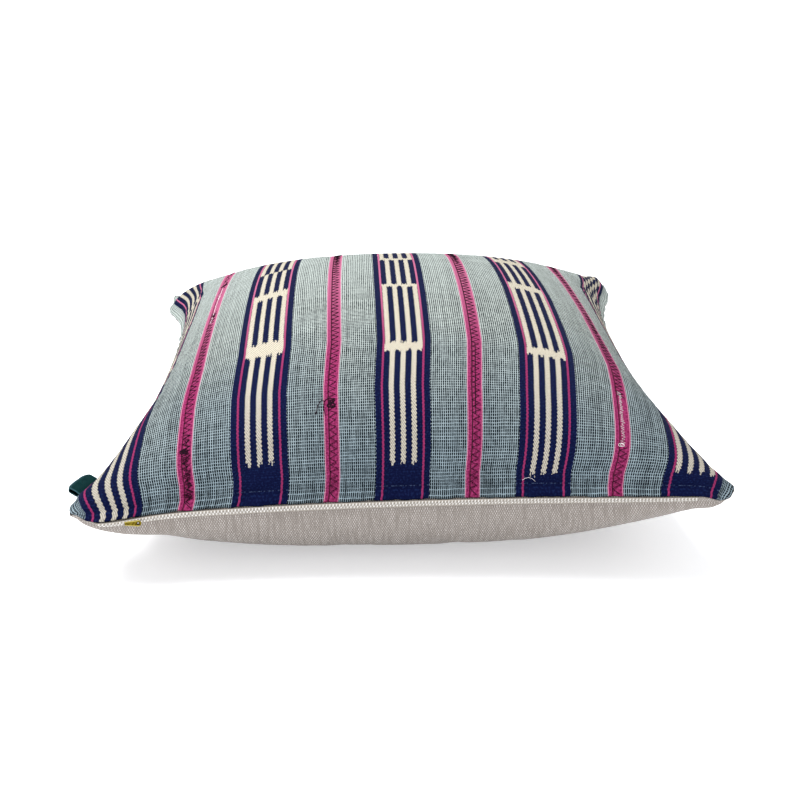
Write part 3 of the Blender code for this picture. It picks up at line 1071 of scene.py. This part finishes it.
add_thread("stitches_first", [
    zigzag("first", 2, 232, 31), zigzag("first", 296, 448, 30, half=1.6, step=5.0),
    zigzag("first", 3, 52, 32, half=2.0, step=1.7, mess=0.6),
    zigzag("first", 6, 46, 33, half=1.4, step=1.3, mess=0.9),
], black)
add_thread("stitches_second", [zigzag("second", 2, 448, 34)], black)
add_thread("stitches_third", [
    zigzag("third", 2, 448, 35),
    [(JOINS["third"] + 0.4, along) for along in range(52, 118, 4)],
], black)
add_thread("stitches_fourth", [
    zigzag("fourth", 2, 34, 36), zigzag("fourth", 78, 448, 37),
], black)
add_thread("mending_fourth", [
    zigzag("fourth", 34, 84, 38, half=1.1, step=0.9, mess=0.5, shift=0.2),
    loops(JOINS["fourth"] - 0.6, 34, 1.8, 2, 39),
], white, radius=MENDING_RADIUS_FOURTH)
add_thread("mending_first", [
    zigzag("first", 205, 300, 40, half=0.5, step=3.2, mess=0.8, shift=0.4),
    zigzag("first", 262, 280, 41, half=0.9, step=3.0, mess=0.8, shift=-0.3),
], white, radius=MENDING_RADIUS_FIRST)
add_thread("tangles", [
    loops(JOINS["second"] + 0.4, 61, 2.2, 4, 42),
    loops(JOINS["second"] + 0.2, 64, 1.6, 3, 43),
    beside("second", (3.0, 66), (-2.0, 66.5), (-4.5, 64.5)),
    beside("second", (-4.5, 64.5), (-6.5, 65.5), (-9.0, 61), (-10.5, 55)),
    beside("second", (-4.5, 64.5), (-5.0, 59), (-4.2, 54)),
    loops(JOINS["first"] + 0.5, 305, 2.4, 3, 45),
    loops(JOINS["first"] - 0.5, 38, 2.0, 4, 46),
    loops(JOINS["first"] + 0.8, 222, 1.5, 3, 47),
], black)
add_thread("loose_fibre", [
    [(84.0, 9.0), (86.0, 10.2), (88.5, 10.6), (91.0, 9.8), (93.0, 8.2)],
], white, radius=FIBRE_RADIUS)

# The zip placket: a fold of the backing canvas that laps over the zip, sewn
# along the near seam. Its pale floats show as two rows of beads.
PLACKET_START = -209.0
PLACKET_END = 203.0
PLACKET_DEEP = 5.2
PLACKET_RISE = 2.2
PLACKET_SUNK = 0.6
PLACKET_FULL = 1.6
PLACKET_END_REACH = 1.0
PLACKET_CELLS = (1120, 12)
BEAD_PITCH = 2.3
BEAD_RISE = 0.22
BEAD_CREST = (0.35, 0.22)
BEAD_SLANT = 0.25
BEAD_ENDS = (0.16, 0.34)
BEAD_SIDES = (0.45, 0.85)
BEAD_STRENGTH = (0.65, 1.00)
BEAD_RELIEF = 0.0006
SEWN_LINE = 0.7
SEWN_SHADE = (0.25, 0.8)
FOLD_GROUND = (0.235, 0.210, 0.180)
BEAD = (0.62, 0.60, 0.575)
BeadRow = namedtuple("BeadRow", "middle shift")
BEAD_ROWS = (BeadRow(0.9, 0.0), BeadRow(2.4, 0.5))


def placket_ends(across):
    """From 0 at either end of the placket to 1 along it."""
    from_end = np.minimum(across - PLACKET_START, PLACKET_END - across)
    return 1 - np.exp(-np.maximum(from_end, 0) / PLACKET_END_REACH)


def placket_lift(across, along):
    share = np.clip(along / PLACKET_DEEP, 0, 1)
    fold = np.sqrt(np.clip(1 - np.abs(2 * share - 1) ** 3, 0, 1))
    crest, reach = BEAD_CREST
    beads = BEAD_RISE * np.cos(2 * np.pi * across / BEAD_PITCH) * np.exp(-((share - crest) / reach) ** 2)
    return (PLACKET_RISE + PLACKET_SUNK + beads) * fold * placket_ends(across) - PLACKET_SUNK


def placket_thickness(across, along):
    share = np.clip(along / PLACKET_DEEP, 0, 1)
    return PLACKET_FULL * np.sin(np.pi * share) * placket_ends(across)


def bead_row(number, row, across, along):
    """One row of floats, a little uneven in strength."""
    place = across / BEAD_PITCH + along * BEAD_SLANT + row.shift
    weakest, strongest = BEAD_STRENGTH
    strength = dice_at(place.whole(), number) * (strongest - weakest) + weakest
    ends = 1.0 - abs(place.part() - 0.5).between(*BEAD_ENDS)
    sides = 1.0 - abs(along - row.middle).between(*BEAD_SIDES)
    return ends * sides * strength


placket = add_shell(
    "placket_fold", (BACK, BACK_OUT), (PLACKET_START, PLACKET_END, 0.0, PLACKET_DEEP),
    PLACKET_CELLS, placket_lift, placket_thickness,
)
fold_canvas, tree, shader = new_finish("folded canvas", 0.92, sheen=0.1, gloss=0.15)
across, along = cloth_place(tree)
beads = maths("MAXIMUM", *(bead_row(float(k), row, across, along) for k, row in enumerate(BEAD_ROWS)))
sewn = 1.0 - abs(along - (PLACKET_DEEP - SEWN_LINE)).between(*SEWN_SHADE)
fold_colour = (sewn * 0.9).mix(FOLD_GROUND, CANVAS_SHADE)
plug(shader["Base Color"], beads.mix(fold_colour, BEAD))
raise_surface(shader, beads, BEAD_RELIEF)
placket.data.materials.append(fold_canvas)
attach(placket, "root")
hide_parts("zip_placket")

# The zip's tab: a stamped brass plate with an eye, lying along the placket at
# its near left end. Its rim is painted bright as a painted highlight, its eye is
# painted dark as painted shade, and dull spots are scattered over the rest.
BRASS = (0.25, 0.185, 0.018)
BRASS_DULL = (0.070, 0.048, 0.008)
BRASS_PAINTED_HIGHLIGHT = (0.62, 0.52, 0.17)
BRASS_EYE_PAINTED_SHADE = (0.010, 0.008, 0.005)
BRASS_RELIEF = 0.00005
SPOTS_TO_THE_METRE = 900.0
TAB_CENTRE = (-0.16583, -0.20711, 0.05255)
TAB_LENGTHWAYS = (0.996, 0.093, 0.004)
TAB_SIDEWAYS = (-0.028, 0.257, 0.966)
TAB_HALF_WIDE = 1.6
TAB_TAPER = 0.105
TAB_HIGHLIGHT_RIM = (0.66, 0.92)
TAB_EYE = 3.25
TAB_EYE_SQUARED = (0.8, 1.5)
DULL_SPOTS = (0.42, 0.66)
BRASS_ROUGHNESS = (0.28, 0.53)

brass, tree, shader = new_finish("worn brass with painted highlight and shade", 0.35)
plug(shader["Metallic"], 1.0)
place = Wire(tree, tree.nodes.new("ShaderNodeTexCoord").outputs["Object"])
noise = tree.nodes.new("ShaderNodeTexNoise")
plug(noise.inputs["Scale"], SPOTS_TO_THE_METRE)
plug(noise.inputs["Detail"], 4.0)
plug(noise.inputs["Vector"], place)
spots = Wire(tree, noise.outputs["Fac"])
from_centre = tree.nodes.new("ShaderNodeVectorMath")
from_centre.operation = "SUBTRACT"
plug(from_centre.inputs[0], place)
from_centre.inputs[1].default_value = TAB_CENTRE


def tab_reach(direction):
    """Distance from the tab's centre in one direction, in mm."""
    measure = tree.nodes.new("ShaderNodeVectorMath")
    measure.operation = "DOT_PRODUCT"
    measure.inputs[1].default_value = direction
    tree.links.new(from_centre.outputs[0], measure.inputs[0])
    return Wire(tree, measure.outputs["Value"]) * 1000.0


lengthways, sideways = tab_reach(TAB_LENGTHWAYS), tab_reach(TAB_SIDEWAYS)
# The rim is painted brighter: a painted highlight.
on_rim = (abs(sideways) / (lengthways * TAB_TAPER + TAB_HALF_WIDE)).between(*TAB_HIGHLIGHT_RIM)
to_eye = lengthways - TAB_EYE
in_eye = 1.0 - (to_eye * to_eye + sideways * sideways).between(*TAB_EYE_SQUARED)
dull = spots.between(*DULL_SPOTS)
metal = on_rim.mix(dull.mix(BRASS, BRASS_DULL), BRASS_PAINTED_HIGHLIGHT)
# The eye is painted dark: painted shade.
plug(shader["Base Color"], in_eye.mix(metal, BRASS_EYE_PAINTED_SHADE))
polished, rubbed = BRASS_ROUGHNESS
plug(shader["Roughness"], dull * (rubbed - polished) + polished)
raise_surface(shader, spots, BRASS_RELIEF)
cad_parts["zip_pull"].data.materials.clear()
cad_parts["zip_pull"].data.materials.append(brass)

# The side label: a dark green satin ribbon, folded in half and left blank, with
# a paler blue-green painted sheen on its fold. Its two ends are caught in the
# left seam, and its fold stands off the cushion.
LABEL_PLACE = Vector((-0.2024, -0.1600, 0.0520))
LABEL_TILT = math.radians(24)
LABEL_TURN = math.radians(-20)
LABEL_WIDTH = 23.0
LABEL_REACH = 13.5
LABEL_FOLD_RADIUS = 1.9
LABEL_PINCH = 0.4
LABEL_CAUGHT = 0.6
LABEL_ROUNDING = 0.16
LABEL_RIBBON = 0.45
LABEL_CELLS = (64, 30)
LABEL_SAG = 0.7
LABEL_RIPPLE = (0.10, 0.9)
RIBBON_GREEN = (0.0002, 0.014, 0.0150)
RIBBON_LIT = (0.001, 0.030, 0.031)
RIBBON_EDGE = (0.028, 0.075, 0.090)
RIBBON_FOLD_PAINTED_SHEEN = (0.040, 0.085, 0.105)
RIBBON_RIB = 0.38
RIBBON_SELVEDGE = (0.35, 0.9)
RIBBON_FOLD_REACH = (1.6, 3.6)
RIBBON_RELIEF = 0.00008


def ribbon_line():
    """The ribbon seen from its end: from the seam out to the fold and back, in mm."""
    legs = np.linspace(LABEL_CAUGHT, -LABEL_REACH + LABEL_FOLD_RADIUS, 20)
    opened = np.clip(-legs / (LABEL_REACH / 2), 0, 1)
    half = LABEL_PINCH + (LABEL_FOLD_RADIUS - LABEL_PINCH) * opened ** 2 * (3 - 2 * opened)
    turn = np.radians(np.linspace(90, 270, 15))
    fold_x = legs[-1] + LABEL_FOLD_RADIUS * np.cos(turn)
    fold_z = LABEL_FOLD_RADIUS * np.sin(turn)
    x = np.r_[legs[:-1], fold_x, legs[-2::-1]]
    z = np.r_[half[:-1], fold_z, -half[-2::-1]]
    return np.stack([x, np.zeros(len(x)), z], axis=1)


ribbon_plan = bmesh.new()
pattern = ribbon_plan.loops.layers.uv.new("cloth")
bmesh.ops.create_grid(ribbon_plan, x_segments=LABEL_CELLS[0], y_segments=LABEL_CELLS[1], size=1.0)
line = ribbon_line()
ribbon_length = float(np.linalg.norm(np.diff(line, axis=0), axis=1).sum())
place_of = {}
for vert in ribbon_plan.verts:
    share = (vert.co.x + 1) / 2
    width = vert.co.y * LABEL_WIDTH / 2
    x, _, z = points_along(line, np.array([share]))[0]
    ripple = LABEL_RIPPLE[0] * math.sin(width * LABEL_RIPPLE[1])
    sag = (LABEL_SAG * (width / LABEL_WIDTH) ** 2 + ripple) * x / LABEL_REACH
    place_of[vert] = (share * ribbon_length, width)
    rounded = 1 - LABEL_ROUNDING * abs(2 * width / LABEL_WIDTH) ** 5 * max(-x, 0) / LABEL_REACH
    vert.co = Vector((x * rounded, width, z * rounded + sag)) / 1000
set_map(ribbon_plan.faces, pattern, place_of)
ribbon_mesh = bpy.data.meshes.new("label_ribbon")
bmesh.ops.rotate(ribbon_plan, verts=ribbon_plan.verts, matrix=Matrix.Rotation(LABEL_TILT, 3, "Y"))
bmesh.ops.rotate(ribbon_plan, verts=ribbon_plan.verts, matrix=Matrix.Rotation(LABEL_TURN, 3, "Z"))
bmesh.ops.translate(ribbon_plan, verts=ribbon_plan.verts, vec=LABEL_PLACE)
ribbon_plan.to_mesh(ribbon_mesh)
ribbon_plan.free()
ribbon_mesh.shade_smooth()
label = bpy.data.objects.new("label_ribbon", ribbon_mesh)
bpy.context.scene.collection.objects.link(label)
woven = label.modifiers.new("ribbon cloth", "SOLIDIFY")
woven.thickness = LABEL_RIBBON / 1000
woven.offset = 0.0

satin, tree, shader = new_finish("green satin ribbon", 0.5, gloss=0.05)
length, width = cloth_place(tree)
rib = (length / (RIBBON_RIB / 2)).to_and_fro()
floss = cloud_at(length * 2.0, width * 0.35)
at_edge = 1.0 - (LABEL_WIDTH / 2 - abs(width)).between(*RIBBON_SELVEDGE)
at_fold = 1.0 - abs(length - ribbon_length / 2).between(*RIBBON_FOLD_REACH)
green = (floss.between(0.45, 0.75) * 0.5).mix(RIBBON_GREEN, RIBBON_LIT)
green = (rib * 0.25).mix(green, RIBBON_LIT)
# The fold is painted a paler blue-green: painted sheen of the satin where it curves.
green = (at_fold * floss.between(0.35, 0.6)).mix(green, RIBBON_FOLD_PAINTED_SHEEN)
plug(shader["Base Color"], at_edge.mix(green, RIBBON_EDGE))
raise_surface(shader, rib + at_edge * 1.5, RIBBON_RELIEF)
ribbon_mesh.materials.append(satin)
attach(label, "root")
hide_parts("label")
